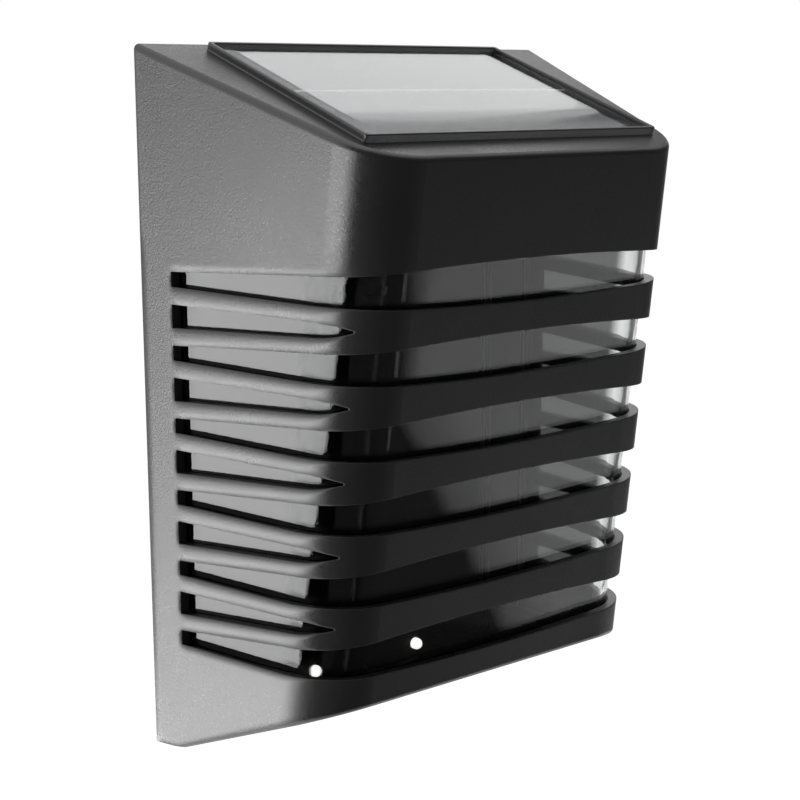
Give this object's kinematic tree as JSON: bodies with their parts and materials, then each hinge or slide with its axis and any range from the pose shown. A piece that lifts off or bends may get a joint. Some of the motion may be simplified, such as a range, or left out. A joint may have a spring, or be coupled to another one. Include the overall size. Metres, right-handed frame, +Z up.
{
  "type": "solar wall light",
  "caption": "Louvred black solar wall light: sloping top with a framed solar panel, clear lens behind wrap-round openings, downward LEDs, cell bay, slide switch and keyholes in the back.",
  "frame": {"origin": "middle of the back, on the plane of the wall that the light hangs on", "axes": "+Z up along the back, +Y into the wall, so the front faces -Y, and +X to the right seen from the front"},
  "size_m": [0.14, 0.0718, 0.1786],
  "materials": {
    "casing": "satin black moulded plastic with a fine spark texture",
    "lens": "clear polished plastic",
    "tray": "plain moulded",
    "cover": "clear polished sheet",
    "cells": "dark silicon",
    "tinned": "tinned",
    "bond": "foam tape",
    "panel_board": "laminate",
    "seal": "closed-cell foam",
    "steel": "zinc plated",
    "cell_wrap": "sleeved",
    "contact": "nickel plated",
    "switch": "plain moulded",
    "board": "laminate with a solder mask",
    "led_board": "laminate with a dark solder mask",
    "leds": "white lamp",
    "chip": "moulded package",
    "ferrite": "ferrite drum",
    "can": "sleeved can",
    "leads": "insulated wire"
  },
  "bodies": {
    "casing": {"housing": "casing", "back_plate": "casing", "lens": "lens", "head_tray": "tray", "panel_cover": "cover", "solar_cells": "cells", "cell_ribbon": "tinned", "panel_adhesive": "bond", "panel_board": "panel_board", "back_seal": "seal", "back_screws": "steel", "tray_screws": "steel", "board_screws": "steel", "led_board_screws": "steel", "switch_screws": "steel", "battery_cell": "cell_wrap", "battery_contacts": "contact", "switch_body": "switch", "control_board": "board", "led_board": "led_board", "leds": "leds", "driver_chip": "chip", "choke_coil": "ferrite", "buffer_capacitor": "can", "panel_leads": "leads", "battery_leads": "leads", "switch_leads": "leads", "led_leads": "leads"},
    "battery_door": {"battery_door": "casing", "door_seal": "seal", "door_screw": "steel"},
    "switch_knob": {"switch_knob": "switch"}
  },
  "joints": [
    {"name": "switch_slide", "type": "slide", "parent": "casing", "child": "switch_knob", "axis": [1, 0, 0], "range_m": [0, 0.004]},
    {"name": "battery_door_lift", "type": "slide", "parent": "casing", "child": "battery_door", "axis": [0, 1, 0], "range_m": [0, 0.02]}
  ]
}
